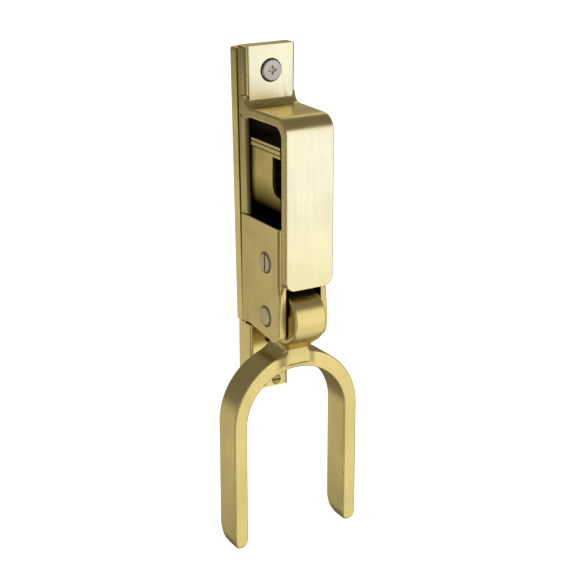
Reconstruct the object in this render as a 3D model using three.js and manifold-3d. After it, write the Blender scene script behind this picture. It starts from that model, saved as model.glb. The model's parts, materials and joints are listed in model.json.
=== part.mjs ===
// Door holder with a hinged fork, in brushed brass.
// Units are millimetres. +X is to the right as seen from behind the wall face, +Z is up, and the
// wall face lies at Y = 0, so everything stands out of the wall towards -Y.
import * as THREE from 'three';
import { mergeVertices } from 'three/addons/utils/BufferGeometryUtils.js';
import Module from 'manifold-3d';

const wasm = await Module();
wasm.setup();

// ---- driving dimensions ------------------------------------------------------------------------
const GAP = 0.3;                     // air left between pieces that touch
const HALF_PI = Math.PI / 2;

// base stack: wall plate, core bar, rail
const PLATE_BACK = 0;
const PLATE_FRONT = -5.2;
const TONGUE_BACK = PLATE_FRONT - GAP;
const TONGUE_FRONT = -6.6;
const RAIL_BACK = TONGUE_FRONT - GAP;
const RAIL_FRONT = -14;
const RAIL_TOP = 82.9;
const RAIL_BOTTOM = -47.9;
const PLATE_TOP = 81.3;
const PLATE_BOTTOM = -49.9;
const HALF_TOP = 13.3;               // half width of the stack at its top
const HALF_BOTTOM = 11.2;            // half width at the foot of the rail
const TONGUE_INSET = 0.7;            // the core's edge shows as a groove this deep
const RAIL_EDGE_X = 2.0;             // rounding of the rail's two front edges
const RAIL_EDGE_Y = 3.4;
const TAB_CORNER = 1.6;

// end block, the exposed lower end of the core bar
const BLOCK_HALF = 10.25;
const BLOCK_FRONT = -11.7;
const BLOCK_TOP = -50.7;
const BLOCK_BOTTOM = -84;
const BLOCK_EDGE = 1.5;

// cover strap: ledge and front plate
const STRAP_FRONT = -48.5;
const STRAP_THICK = 4.5;
const STRAP_BOTTOM = -23.2;
const LEDGE_TOP = 55.8;
const LEDGE_BEND = 8;
const LEDGE_INNER_BEND = 5.5;
const LEDGE_FILLET = 5;
const STRAP_HALF = 12.5;
const STRAP_ROOT_HALF = 13.2;
const STRAP_CORNER = 5;
const ROOT_EASE = 0.6;               // the root keeps its full width up to this far above the ledge
const ROOT_ARM = { back: -7.9, low: 50.6, high: 60.2, inner: 11.8, outer: 13.3, heel: 2.4, crown: 4.2 };

// U-shaped channel and the spring stirrup inside it
const SHEET = 1.4;
const CHANNEL_HALF = 12.5;
const CHANNEL_FRONT = -43.2;
const CHANNEL_TOP = 4.8;
const CHANNEL_BEND = 3;
const FLANGE_HALF = 13.2;
const FLANGE_BACK = -8.6;
const FLANGE_LEAD = 0.6;                // the flange starts to flare this far in front of the rail
const EAR_INNER = 9.2;
const EAR_BOTTOM = -50.6;
const STIRRUP_SHEET = 1.6;
const STIRRUP_HALF = CHANNEL_HALF - SHEET - GAP;
const STIRRUP_INNER = STIRRUP_HALF - STIRRUP_SHEET;
const STIRRUP_BACK = RAIL_FRONT - 0.5;
const STIRRUP_FRONT = -40.5;
const STIRRUP_TOP = 38;
const CAP_TOP = 41.9;
const CAP_OVERHANG = 0.2;
const CAP_GROOVE = { z: 40.2, height: 0.35, depth: 0.8 };
const NOTCH_BACK = -33.6;
const NOTCH_LOW = 18.8;
const NOTCH_CURVE = 6.5;
const EAR_RISE = 2.8;                // how much higher a cheek's rear corner is than its ear
const EAR_CURVE = 6.5;

// fork
const PIVOT_Y = -29.7;
const PIVOT_Z = -39.8;
const HUB_Y = -38;
const HUB_Z = -39;
const HUB_R = 12.15;
const HUB_HALF = 8;
const PIVOT_BOSS_R = 8;
const NECK_HALF = 6.5;
const NECK_FRONT = -42.6;
const BAR_BACK = -21.7;
const BAR_FRONT = -37.3;
const ARCH_R = 33.6;
const ARCH_Z = -90.8;
const BAR_THICK = 7;
const CROWN_THICK = 7.9;
const TIP_Z = -153.2;
const TIP_BACK_CORNER = 11;
const TIP_ROUND = 6;                 // height of the rounded end of a prong, seen from the front
const CROWN_Z = ARCH_Z + ARCH_R;
const NECK_SINK = 3;                 // how far the neck is sunk into the arch
const NECK_FLARE_X = 6;
const NECK_FLARE_Z = 5;
const NECK_TOE = 1.4;

// pins, screws and the spring-loaded plunger
const PIN_R = 3;
const RIVET_HEAD_R = 4.9;
const SCREW_R = 2.5;
const SCREW_Z = -13.7;
const BUSH_R = 4.2;
const PLUNGER_HALF = 8.6;
const PLUNGER_BACK = -16;
const PLUNGER_FRONT = -39.4;
const PLUNGER_TOP = -4;
const PLUNGER_BOTTOM = -22.65;
const SHOE_BOTTOM = -25.25;
const SPRING_Y = -26.5;
const SPRING_R = 6;
const SPRING_WIRE_R = 0.9;
const SPRING_TURNS = 7;
const SPRING_BOTTOM = -2.4;
const SPRING_TOP = 34.7;
const SEAT_RIM = 1.6;
const ROD_R = 2.5;
const ROD_TOP = 26.5;
const ROD_DEPTH = 5.7;               // length of the rod held in the plunger
const PEG_DEPTH = 4;                 // length of the shoe's peg held in the plunger
const THRUST_R = 6.8;
const HEAD_CROWN = 0.45;             // how proud a countersunk head stands
const HEAD_CHAMFER = 0.9;
const SLOT_HALF = 0.6;
const SLOT_DEPTH = 0.75;

// fixings in the base
const TAB_SCREW_Z = 71.3;
const TAB_BORE_R = 5.5;
const TAB_BORE_FLOOR = -10.4;
const TAB_HEAD_R = 5.1;
const TAB_HEAD_FRONT = -15.2;
const TAB_SHANK_R = 2.6;
const TAB_HEAD_BACK = -12;
const TAB_HEAD_CHAMFER = 0.5;
const TAB_RECESS = { long: 1.9, short: 0.45, depth: 0.6 };
const BLOCK_SCREW_Z = -58.2;
const BLOCK_SCREW_R = 2.35;
const BLOCK_SCREW_FRONT = -8.8;
const BLOCK_SLOT = { half: 0.45, depth: 1.2 };
const FOOT_SCREW_X = 3.7;
const FOOT_SCREW_Z = -80.9;
const FOOT_HEAD_R = 2.1;
const FOOT_SHANK_R = 1.3;
const FOOT_HEAD_THICK = 1.3;
const FOOT_HEAD_PROUD = 0.25;
const FOOT_SHANK_BACK = -2.4;
const FOOT_SLOT = { half: 0.35, depth: 0.85 };
const STACK_RIVET_R = 2;
const STACK_RIVET_Z = [25, -30];
const STRAP_PIN_R = 1.4;
const STRAP_PIN_X = 7;
const STRAP_PIN_Z = 53.5;
const STRAP_PIN_BACK = -8;
const STRAP_PIN_FRONT = -22;
const END_SLACK = 0.4;               // how far a fixing stays below the face it is sunk in
const PAST = 1;                      // how far a cutting tool runs past what it cuts

const ARC_STEPS = 9;
const ROUND_STEPS = 24;
const SPRING_STEPS = 16;               // lengths of wire in each turn of the spring

// ---- solid helpers -----------------------------------------------------------------------------
function toManifold(geometry) {
  const bare = new THREE.BufferGeometry();
  bare.setAttribute('position', geometry.getAttribute('position'));
  if (geometry.index) bare.setIndex(geometry.index);
  const welded = mergeVertices(bare, 1e-4);
  const vertProperties = new Float32Array(welded.getAttribute('position').array);
  const triVerts = new Uint32Array(welded.index.array);
  return new wasm.Manifold(new wasm.Mesh({ numProp: 3, vertProperties, triVerts }));
}

function toGeometry(solid) {
  const mesh = solid.getMesh();
  const geometry = new THREE.BufferGeometry();
  geometry.setAttribute('position', new THREE.BufferAttribute(mesh.vertProperties, 3));
  geometry.setIndex(new THREE.BufferAttribute(mesh.triVerts, 1));
  return geometry;
}

function union(...geometries) {
  return toGeometry(geometries.map(toManifold).reduce((a, b) => a.add(b)));
}

function subtract(body, ...tools) {
  return toGeometry(tools.map(toManifold).reduce((a, b) => a.subtract(b), toManifold(body)));
}

function intersect(a, b) {
  return toGeometry(toManifold(a).intersect(toManifold(b)));
}

// Outline in the XY plane, raised from z0 to z1.
function planSolid(outline, z0, z1) {
  const options = { depth: z1 - z0, bevelEnabled: false, curveSegments: ARC_STEPS };
  return new THREE.ExtrudeGeometry(outline, options).translate(0, 0, z0);
}

// Outline in the XZ plane, reaching from yBack forward to yFront.
function frontSolid(outline, yBack, yFront) {
  const options = { depth: yBack - yFront, bevelEnabled: false, curveSegments: ARC_STEPS };
  return new THREE.ExtrudeGeometry(outline, options).rotateX(HALF_PI).translate(0, yBack, 0);
}

// Outline in the YZ plane, reaching from x0 to x1.
function sideSolid(outline, x0, x1) {
  const options = { depth: x1 - x0, bevelEnabled: false, curveSegments: ARC_STEPS };
  const turn = new THREE.Matrix4().set(0, 0, 1, x0, 1, 0, 0, 0, 0, 1, 0, 0, 0, 0, 0, 1);
  return new THREE.ExtrudeGeometry(outline, options).applyMatrix4(turn);
}

function box(x0, x1, y0, y1, z0, z1) {
  const geometry = new THREE.BoxGeometry(x1 - x0, y1 - y0, z1 - z0);
  return geometry.translate((x0 + x1) / 2, (y0 + y1) / 2, (z0 + z1) / 2);
}

// Round bar along X, from x0 to x1, with radius r0 at x0 and r1 at x1.
function barX(x0, x1, y, z, r0, r1 = r0) {
  const geometry = new THREE.CylinderGeometry(r1, r0, x1 - x0, ROUND_STEPS);
  return geometry.rotateZ(-HALF_PI).translate((x0 + x1) / 2, y, z);
}

// Round bar along Y, from yBack forward to yFront.
function barY(yBack, yFront, x, z, r, rFront = r) {
  const geometry = new THREE.CylinderGeometry(r, rFront, yBack - yFront, ROUND_STEPS);
  return geometry.translate(x, (yBack + yFront) / 2, z);
}

function barZ(z0, z1, y, r) {
  const geometry = new THREE.CylinderGeometry(r, r, z1 - z0, ROUND_STEPS);
  return geometry.rotateX(HALF_PI).translate(0, y, (z0 + z1) / 2);
}

function mapX(geometry, scaleAt) {
  const position = geometry.getAttribute('position');
  for (let i = 0; i < position.count; i += 1) {
    position.setX(i, position.getX(i) * scaleAt(position.getY(i), position.getZ(i)));
  }
  return geometry;
}

// ---- base stack --------------------------------------------------------------------------------
function halfWidth(z) {
  const share = (RAIL_TOP - z) / (RAIL_TOP - RAIL_BOTTOM);
  return HALF_TOP + (HALF_BOTTOM - HALF_TOP) * share;
}

function taperedOutline(inset, bottom, top, corner) {
  const low = halfWidth(bottom) - inset;
  const high = halfWidth(top) - inset;
  const outline = new THREE.Shape();
  outline.moveTo(-low, bottom);
  outline.lineTo(low, bottom);
  outline.lineTo(high, top - corner);
  outline.quadraticCurveTo(high, top, high - corner, top);
  outline.lineTo(corner - high, top);
  outline.quadraticCurveTo(-high, top, -high, top - corner);
  outline.closePath();
  return outline;
}

function stackHoles(yBack, yFront) {
  const tab = barY(yBack + PAST, yFront - PAST, 0, TAB_SCREW_Z, TAB_SHANK_R + GAP);
  const rivets = STACK_RIVET_Z.map((z) => barY(yBack + PAST, yFront - PAST, 0, z, STACK_RIVET_R + GAP));
  return [tab, ...rivets];
}

function backPlate() {
  const body = frontSolid(taperedOutline(0, PLATE_BOTTOM, PLATE_TOP, TAB_CORNER), PLATE_BACK, PLATE_FRONT);
  return subtract(body, ...stackHoles(PLATE_BACK, PLATE_FRONT));
}

function blockOutline() {
  const outline = new THREE.Shape();
  outline.moveTo(-BLOCK_HALF, PLATE_BACK);
  outline.lineTo(-BLOCK_HALF, BLOCK_FRONT + BLOCK_EDGE);
  outline.absarc(-BLOCK_HALF + BLOCK_EDGE, BLOCK_FRONT + BLOCK_EDGE, BLOCK_EDGE, Math.PI, 1.5 * Math.PI);
  outline.absarc(BLOCK_HALF - BLOCK_EDGE, BLOCK_FRONT + BLOCK_EDGE, BLOCK_EDGE, -HALF_PI, 0);
  outline.lineTo(BLOCK_HALF, PLATE_BACK);
  outline.closePath();
  return outline;
}

function coreBar() {
  const block = planSolid(blockOutline(), BLOCK_BOTTOM, BLOCK_TOP);
  const tongueOutline = taperedOutline(TONGUE_INSET, BLOCK_TOP - PAST, PLATE_TOP - 2 * GAP, TAB_CORNER);
  const tongue = frontSolid(tongueOutline, TONGUE_BACK, TONGUE_FRONT);
  const front = BLOCK_FRONT - PAST;
  const blockHole = barY(PAST, front, 0, BLOCK_SCREW_Z, BLOCK_SCREW_R + GAP);
  const headSeat = BLOCK_FRONT + FOOT_HEAD_THICK + GAP;
  const footHoles = [-1, 1].flatMap((side) => [
    barY(FOOT_SHANK_BACK + GAP, front, side * FOOT_SCREW_X, FOOT_SCREW_Z, FOOT_SHANK_R + GAP),
    barY(headSeat, front, side * FOOT_SCREW_X, FOOT_SCREW_Z, FOOT_HEAD_R + GAP),
  ]);
  const cuts = [...stackHoles(TONGUE_BACK, TONGUE_FRONT), blockHole, ...footHoles];
  return subtract(union(block, tongue), ...cuts);
}

// Rail section: flat back, elliptical rounding on the two front edges.
function railOutline(half) {
  const outline = new THREE.Shape();
  outline.moveTo(-half, RAIL_BACK);
  outline.lineTo(-half, RAIL_FRONT + RAIL_EDGE_Y);
  const y = RAIL_FRONT + RAIL_EDGE_Y;
  outline.absellipse(-half + RAIL_EDGE_X, y, RAIL_EDGE_X, RAIL_EDGE_Y, Math.PI, 1.5 * Math.PI);
  outline.absellipse(half - RAIL_EDGE_X, y, RAIL_EDGE_X, RAIL_EDGE_Y, -HALF_PI, 0);
  outline.lineTo(half, RAIL_BACK);
  outline.closePath();
  return outline;
}

function rootArmOutline(clearance) {
  const back = ROOT_ARM.back + clearance;
  const front = RAIL_FRONT - 2 * GAP;
  const low = ROOT_ARM.low - clearance;
  const high = ROOT_ARM.high + clearance;
  const heel = ROOT_ARM.heel;
  const crown = ROOT_ARM.crown;
  const outline = new THREE.Shape();
  outline.moveTo(front, low);
  outline.lineTo(back - heel, low);
  outline.absarc(back - heel, low + heel, heel, -HALF_PI, 0);
  outline.absarc(back - crown, high - crown, crown, 0, HALF_PI);
  outline.lineTo(front, high);
  outline.closePath();
  return outline;
}

function railBody() {
  const stepZ = CHANNEL_TOP + GAP;
  const taper = (y, z) => halfWidth(z) / HALF_TOP;
  const upper = mapX(planSolid(railOutline(HALF_TOP), stepZ, RAIL_TOP), taper);
  const lower = planSolid(railOutline(HALF_BOTTOM), RAIL_BOTTOM, stepZ + PAST);
  const tabOutline = taperedOutline(-GAP / 10, RAIL_BOTTOM - PAST, RAIL_TOP, TAB_CORNER);
  const tabShape = frontSolid(tabOutline, PAST, RAIL_FRONT - PAST);
  const body = intersect(union(upper, lower), tabShape);
  const pocketInner = ROOT_ARM.inner - GAP;
  const pockets = [[-HALF_TOP - PAST, -pocketInner], [pocketInner, HALF_TOP + PAST]]
    .map(([x0, x1]) => sideSolid(rootArmOutline(GAP), x0, x1));
  const tabBore = barY(TAB_BORE_FLOOR, RAIL_FRONT - PAST, 0, TAB_SCREW_Z, TAB_BORE_R);
  const pinHoles = [-STRAP_PIN_X, STRAP_PIN_X]
    .map((x) => barY(STRAP_PIN_BACK + GAP, RAIL_FRONT - PAST, x, STRAP_PIN_Z, STRAP_PIN_R + GAP));
  return subtract(body, ...stackHoles(RAIL_BACK, RAIL_FRONT), ...pockets, tabBore, ...pinHoles);
}

// ---- cover strap -------------------------------------------------------------------------------
function strapProfile() {
  const back = RAIL_FRONT - GAP;
  const lip = back - GAP;
  const inner = STRAP_FRONT + STRAP_THICK;
  const underside = LEDGE_TOP - STRAP_THICK;
  const r = LEDGE_INNER_BEND;
  const outline = new THREE.Shape();
  outline.moveTo(back, underside);
  outline.lineTo(back, LEDGE_TOP + LEDGE_FILLET);
  outline.lineTo(lip, LEDGE_TOP + LEDGE_FILLET);
  outline.absarc(lip - LEDGE_FILLET, LEDGE_TOP + LEDGE_FILLET, LEDGE_FILLET, 0, -HALF_PI, true);
  outline.absarc(STRAP_FRONT + LEDGE_BEND, LEDGE_TOP - LEDGE_BEND, LEDGE_BEND, HALF_PI, Math.PI);
  outline.lineTo(STRAP_FRONT, STRAP_BOTTOM);
  outline.lineTo(inner, STRAP_BOTTOM);
  outline.absarc(inner + r, underside - r, r, Math.PI, HALF_PI, true);
  outline.closePath();
  return outline;
}

function strapScale(y) {
  const reach = RAIL_FRONT - GAP - (STRAP_FRONT + LEDGE_BEND);
  const share = THREE.MathUtils.clamp((RAIL_FRONT - GAP - y) / reach, 0, 1);
  return STRAP_ROOT_HALF + (STRAP_HALF - STRAP_ROOT_HALF) * share;
}

function strapFrontOutline() {
  const half = STRAP_HALF;
  const wide = HALF_TOP + PAST;
  const bendLow = LEDGE_TOP - LEDGE_BEND;
  const widenZ = bendLow + PAST;
  const top = LEDGE_TOP + LEDGE_FILLET;
  const lipHalf = halfWidth(top);
  const horn = LEDGE_TOP + ROOT_EASE;
  const outline = new THREE.Shape();
  outline.moveTo(-lipHalf, top + PAST);
  outline.lineTo(-lipHalf, top);
  outline.quadraticCurveTo(-lipHalf, horn, -wide, horn);
  outline.lineTo(-wide, widenZ);
  outline.lineTo(-half, bendLow);
  outline.absarc(-half + STRAP_CORNER, STRAP_BOTTOM + STRAP_CORNER, STRAP_CORNER, Math.PI, 1.5 * Math.PI);
  outline.absarc(half - STRAP_CORNER, STRAP_BOTTOM + STRAP_CORNER, STRAP_CORNER, -HALF_PI, 0);
  outline.lineTo(half, bendLow);
  outline.lineTo(wide, widenZ);
  outline.lineTo(wide, horn);
  outline.quadraticCurveTo(lipHalf, horn, lipHalf, top);
  outline.lineTo(lipHalf, top + PAST);
  outline.closePath();
  return outline;
}

function coverStrap() {
  const sheet = mapX(sideSolid(strapProfile(), -1, 1), strapScale);
  const trimmed = intersect(sheet, frontSolid(strapFrontOutline(), 0, STRAP_FRONT - PAST));
  const arms = [[-ROOT_ARM.outer, -ROOT_ARM.inner], [ROOT_ARM.inner, ROOT_ARM.outer]]
    .map(([x0, x1]) => sideSolid(rootArmOutline(0), x0, x1));
  const pinHoles = [-STRAP_PIN_X, STRAP_PIN_X]
    .map((x) => barY(RAIL_FRONT + PAST, STRAP_PIN_FRONT - GAP, x, STRAP_PIN_Z, STRAP_PIN_R + GAP));
  return subtract(union(trimmed, ...arms), ...pinHoles);
}

// ---- channel and stirrup -----------------------------------------------------------------------
function channelOutline() {
  const innerHalf = CHANNEL_HALF - SHEET;
  const bendX = CHANNEL_HALF - CHANNEL_BEND;
  const bendY = CHANNEL_FRONT + CHANNEL_BEND;
  const innerBend = CHANNEL_BEND - SHEET;
  const joggleY = RAIL_FRONT - GAP;
  const flangeInner = HALF_BOTTOM + GAP;
  const outline = new THREE.Shape();
  outline.moveTo(FLANGE_HALF, FLANGE_BACK);
  outline.lineTo(flangeInner, FLANGE_BACK);
  outline.lineTo(flangeInner, joggleY);
  outline.lineTo(innerHalf, joggleY);
  outline.absarc(bendX, bendY, innerBend, 0, -HALF_PI, true);
  outline.absarc(-bendX, bendY, innerBend, -HALF_PI, -Math.PI, true);
  outline.lineTo(-innerHalf, joggleY);
  outline.lineTo(-flangeInner, joggleY);
  outline.lineTo(-flangeInner, FLANGE_BACK);
  outline.lineTo(-FLANGE_HALF, FLANGE_BACK);
  outline.lineTo(-CHANNEL_HALF, joggleY - FLANGE_LEAD);
  outline.absarc(-bendX, bendY, CHANNEL_BEND, Math.PI, 1.5 * Math.PI);
  outline.absarc(bendX, bendY, CHANNEL_BEND, -HALF_PI, 0);
  outline.lineTo(CHANNEL_HALF, joggleY - FLANGE_LEAD);
  outline.closePath();
  return outline;
}

// Side view of a cheek: level top, bottom edge falling gently forward to a rounded ear.
function cheekOutline() {
  const front = CHANNEL_FRONT - GAP;
  const top = CHANNEL_TOP + PAST;
  const outline = new THREE.Shape();
  outline.moveTo(PLATE_BACK, top);
  outline.lineTo(PLATE_BACK, EAR_BOTTOM + EAR_RISE);
  outline.lineTo(RAIL_FRONT - PAST, EAR_BOTTOM + EAR_RISE);
  outline.lineTo(front + EAR_CURVE, EAR_BOTTOM);
  outline.quadraticCurveTo(front, EAR_BOTTOM, front, EAR_BOTTOM + EAR_CURVE);
  outline.lineTo(front, top);
  outline.closePath();
  return outline;
}

// Space swept by the fork's nose, which the channel's web has to stay clear of.
function noseSweep(half) {
  const reach = Math.hypot(HUB_Y - PIVOT_Y, HUB_Z - PIVOT_Z) + HUB_R + GAP;
  const cylinder = new THREE.CylinderGeometry(reach, reach, 2 * half, 3 * ROUND_STEPS);
  return cylinder.rotateZ(HALF_PI).translate(0, PIVOT_Y, PIVOT_Z);
}

function countersinks() {
  const outer = CHANNEL_HALF + GAP / 10;
  const inner = CHANNEL_HALF - SHEET - GAP / 10;
  return [PIVOT_Z, SCREW_Z].flatMap((z) => [
    barX(inner, outer, PIVOT_Y, z, RIVET_HEAD_R - SHEET + GAP, RIVET_HEAD_R + GAP),
    barX(-outer, -inner, PIVOT_Y, z, RIVET_HEAD_R + GAP, RIVET_HEAD_R - SHEET + GAP),
  ]);
}

function channel() {
  const bent = planSolid(channelOutline(), EAR_BOTTOM - PAST, CHANNEL_TOP);
  const side = sideSolid(cheekOutline(), -FLANGE_HALF - PAST, FLANGE_HALF + PAST);
  const slotFront = CHANNEL_FRONT - PAST;
  const forkSlot = box(-EAR_INNER, EAR_INNER, slotFront, STIRRUP_FRONT + PAST, EAR_BOTTOM - PAST, PIVOT_Z);
  return subtract(intersect(bent, side), forkSlot, noseSweep(EAR_INNER), ...countersinks());
}

function stirrupProfile() {
  const slabLow = STIRRUP_TOP - STIRRUP_SHEET;
  const legLow = EAR_BOTTOM + PAST;
  const outline = new THREE.Shape();
  outline.moveTo(STIRRUP_BACK, STIRRUP_TOP);
  outline.lineTo(STIRRUP_BACK, legLow + EAR_RISE);
  outline.lineTo(STIRRUP_FRONT + EAR_CURVE, legLow);
  outline.quadraticCurveTo(STIRRUP_FRONT, legLow, STIRRUP_FRONT, legLow + EAR_CURVE);
  outline.lineTo(STIRRUP_FRONT, NOTCH_LOW);
  outline.quadraticCurveTo(NOTCH_BACK, NOTCH_LOW, NOTCH_BACK, NOTCH_LOW + NOTCH_CURVE);
  outline.lineTo(NOTCH_BACK, slabLow);
  outline.lineTo(STIRRUP_FRONT, slabLow);
  outline.lineTo(STIRRUP_FRONT, STIRRUP_TOP);
  outline.closePath();
  return outline;
}

function springStirrup() {
  const body = sideSolid(stirrupProfile(), -STIRRUP_HALF, STIRRUP_HALF);
  const slabLow = STIRRUP_TOP - STIRRUP_SHEET;
  const front = STIRRUP_FRONT - PAST;
  const inside = box(-STIRRUP_INNER, STIRRUP_INNER, front, STIRRUP_BACK + PAST, EAR_BOTTOM, slabLow);
  const across = STIRRUP_HALF + PAST;
  const pinHole = barX(-across, across, PIVOT_Y, PIVOT_Z, PIN_R + GAP);
  const screwHole = barX(-across, across, PIVOT_Y, SCREW_Z, SCREW_R + GAP);
  return subtract(body, inside, pinHole, screwHole);
}

// Cap on the stirrup, with a groove round its edge.
function stirrupCap() {
  const half = STIRRUP_HALF + CAP_OVERHANG;
  const front = STIRRUP_FRONT - CAP_OVERHANG;
  const { z, height, depth } = CAP_GROOVE;
  const body = box(-half, half, front, STIRRUP_BACK, STIRRUP_TOP + GAP, CAP_TOP);
  const around = box(-half - PAST, half + PAST, front - PAST, STIRRUP_BACK + PAST, z, z + height);
  const inner = half - depth;
  const core = box(-inner, inner, front + depth, STIRRUP_BACK - depth, z - PAST, z + height + PAST);
  return subtract(body, subtract(around, core));
}

// ---- fork --------------------------------------------------------------------------------------
function forkFrontOutline() {
  const outer = ARCH_R;
  const inner = ARCH_R - BAR_THICK;
  const tip = BAR_THICK / 2;
  const outline = new THREE.Shape();
  outline.moveTo(outer, ARCH_Z);
  outline.absarc(0, ARCH_Z, outer, 0, Math.PI);
  outline.absellipse(-outer + tip, TIP_Z + TIP_ROUND, tip, TIP_ROUND, Math.PI, 2 * Math.PI);
  outline.lineTo(-inner, ARCH_Z);
  outline.absellipse(0, ARCH_Z, inner, outer - CROWN_THICK, Math.PI, 0, true);
  outline.absellipse(outer - tip, TIP_Z + TIP_ROUND, tip, TIP_ROUND, Math.PI, 2 * Math.PI);
  outline.closePath();
  return outline;
}

function forkSideOutline() {
  const r = TIP_BACK_CORNER;
  const outline = new THREE.Shape();
  outline.moveTo(BAR_FRONT, TIP_Z);
  outline.lineTo(BAR_BACK - r, TIP_Z);
  outline.absarc(BAR_BACK - r, TIP_Z + r, r, -HALF_PI, 0);
  outline.lineTo(BAR_BACK, CROWN_Z + PAST);
  outline.lineTo(BAR_FRONT, CROWN_Z + PAST);
  outline.closePath();
  return outline;
}

// Side view of the neck, from the crown of the arch up to the hub and the pivot boss.
function neckProfile() {
  const low = CROWN_Z - NECK_SINK;
  const bossBack = PIVOT_Y + PIVOT_BOSS_R - GAP;
  const outline = new THREE.Shape();
  outline.moveTo(BAR_BACK, low);
  outline.lineTo(BAR_BACK, CROWN_Z);
  outline.quadraticCurveTo(BAR_BACK - NECK_TOE, PIVOT_Z - PIVOT_BOSS_R, bossBack, PIVOT_Z - NECK_SINK);
  outline.lineTo(HUB_Y, HUB_Z);
  outline.lineTo(NECK_FRONT - NECK_TOE, HUB_Z - HUB_R + 2 * NECK_TOE);
  outline.quadraticCurveTo(NECK_FRONT, CROWN_Z + NECK_SINK, BAR_FRONT - NECK_SINK, CROWN_Z);
  outline.quadraticCurveTo(BAR_FRONT, low, BAR_FRONT, low - NECK_TOE);
  outline.closePath();
  return outline;
}

// Front view of the neck, with a concave fillet on each side where it meets the arch.
function neckFlareOutline() {
  const low = CROWN_Z - NECK_SINK;
  const toe = low + NECK_TOE;
  const wide = NECK_HALF + NECK_FLARE_X;
  const outline = new THREE.Shape();
  outline.moveTo(-wide, low);
  outline.lineTo(wide, low);
  outline.lineTo(wide, toe);
  outline.quadraticCurveTo(NECK_HALF, toe + NECK_TOE, NECK_HALF, toe + NECK_FLARE_Z);
  outline.lineTo(-NECK_HALF, toe + NECK_FLARE_Z);
  outline.quadraticCurveTo(-NECK_HALF, toe + NECK_TOE, -wide, toe);
  outline.closePath();
  return outline;
}

function fork() {
  const prongs = intersect(
    frontSolid(forkFrontOutline(), BAR_BACK, BAR_FRONT),
    sideSolid(forkSideOutline(), -ARCH_R - PAST, ARCH_R + PAST),
  );
  const hub = new THREE.CylinderGeometry(HUB_R, HUB_R, 2 * HUB_HALF, 2 * ROUND_STEPS)
    .rotateZ(HALF_PI).translate(0, HUB_Y, HUB_Z);
  const boss = barX(-HUB_HALF, HUB_HALF, PIVOT_Y, PIVOT_Z, PIVOT_BOSS_R);
  const neck = sideSolid(neckProfile(), -NECK_HALF, NECK_HALF);
  const flare = frontSolid(neckFlareOutline(), BAR_BACK, BAR_FRONT);
  const bore = barX(-HUB_HALF - PAST, HUB_HALF + PAST, PIVOT_Y, PIVOT_Z, BUSH_R + GAP);
  return subtract(union(prongs, hub, boss, neck, flare), bore);
}

function pivotBush() {
  const outer = barX(-HUB_HALF, HUB_HALF, PIVOT_Y, PIVOT_Z, BUSH_R);
  return subtract(outer, barX(-HUB_HALF - PAST, HUB_HALF + PAST, PIVOT_Y, PIVOT_Z, PIN_R + GAP));
}

function thrustWasher(side) {
  const near = HUB_HALF + GAP;
  const far = STIRRUP_INNER - GAP;
  const [x0, x1] = side < 0 ? [-far, -near] : [near, far];
  const ring = barX(x0, x1, PIVOT_Y, PIVOT_Z, THRUST_R);
  return subtract(ring, barX(x0 - PAST, x1 + PAST, PIVOT_Y, PIVOT_Z, PIN_R + GAP));
}

// Countersunk head on the outside of a cheek, crowned slightly proud of it.
function countersunkHead(side, z) {
  const seat = CHANNEL_HALF - SHEET;
  const flush = CHANNEL_HALF;
  const crown = CHANNEL_HALF + HEAD_CROWN;
  const r = RIVET_HEAD_R;
  const stem = [[0, seat - PAST], [SCREW_R, seat - PAST], [SCREW_R, seat]];
  const cone = [[r - SHEET, seat], [r, flush], [r - HEAD_CHAMFER, crown], [0, crown]];
  const profile = [...stem, ...cone].map(([radius, x]) => new THREE.Vector2(radius, x));
  const head = new THREE.LatheGeometry(profile, ROUND_STEPS).rotateZ(-HALF_PI);
  if (side < 0) head.rotateZ(Math.PI);
  return head.translate(0, PIVOT_Y, z);
}

function pivotPin() {
  const shank = barX(-CHANNEL_HALF + SHEET, CHANNEL_HALF - SHEET, PIVOT_Y, PIVOT_Z, PIN_R);
  return union(shank, countersunkHead(-1, PIVOT_Z), countersunkHead(1, PIVOT_Z));
}

function stirrupScrew(side) {
  const seat = CHANNEL_HALF - SHEET;
  const [x0, x1] = side < 0 ? [-seat, -STIRRUP_INNER] : [STIRRUP_INNER, seat];
  const shank = barX(x0, x1, PIVOT_Y, SCREW_Z, SCREW_R);
  const floor = CHANNEL_HALF + HEAD_CROWN - SLOT_DEPTH;
  const [slotX0, slotX1] = side < 0 ? [-floor - PAST, -floor] : [floor, floor + PAST];
  const low = SCREW_Z - RIVET_HEAD_R - PAST;
  const high = SCREW_Z + RIVET_HEAD_R + PAST;
  const slot = box(slotX0, slotX1, PIVOT_Y - SLOT_HALF, PIVOT_Y + SLOT_HALF, low, high);
  return subtract(union(shank, countersunkHead(side, SCREW_Z)), slot);
}

// ---- spring-loaded plunger ---------------------------------------------------------------------
function camPlunger() {
  const body = box(-PLUNGER_HALF, PLUNGER_HALF, PLUNGER_FRONT, PLUNGER_BACK, PLUNGER_BOTTOM, PLUNGER_TOP);
  const rodHole = barZ(PLUNGER_TOP - ROD_DEPTH - GAP, PLUNGER_TOP + PAST, SPRING_Y, ROD_R + GAP);
  const pegTop = PLUNGER_BOTTOM + PEG_DEPTH + GAP;
  const pegHole = barZ(PLUNGER_BOTTOM - PAST, pegTop, SPRING_Y, ROD_R + GAP);
  return subtract(body, rodHole, pegHole);
}

function plungerShoe() {
  const top = PLUNGER_BOTTOM - GAP;
  const pad = box(-PLUNGER_HALF, PLUNGER_HALF, PLUNGER_FRONT, PLUNGER_BACK, SHOE_BOTTOM, top);
  return union(pad, barZ(PLUNGER_BOTTOM - PAST, PLUNGER_BOTTOM + PEG_DEPTH, SPRING_Y, ROD_R));
}

function springRod() {
  return barZ(PLUNGER_TOP - ROD_DEPTH, ROD_TOP, SPRING_Y, ROD_R);
}

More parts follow.
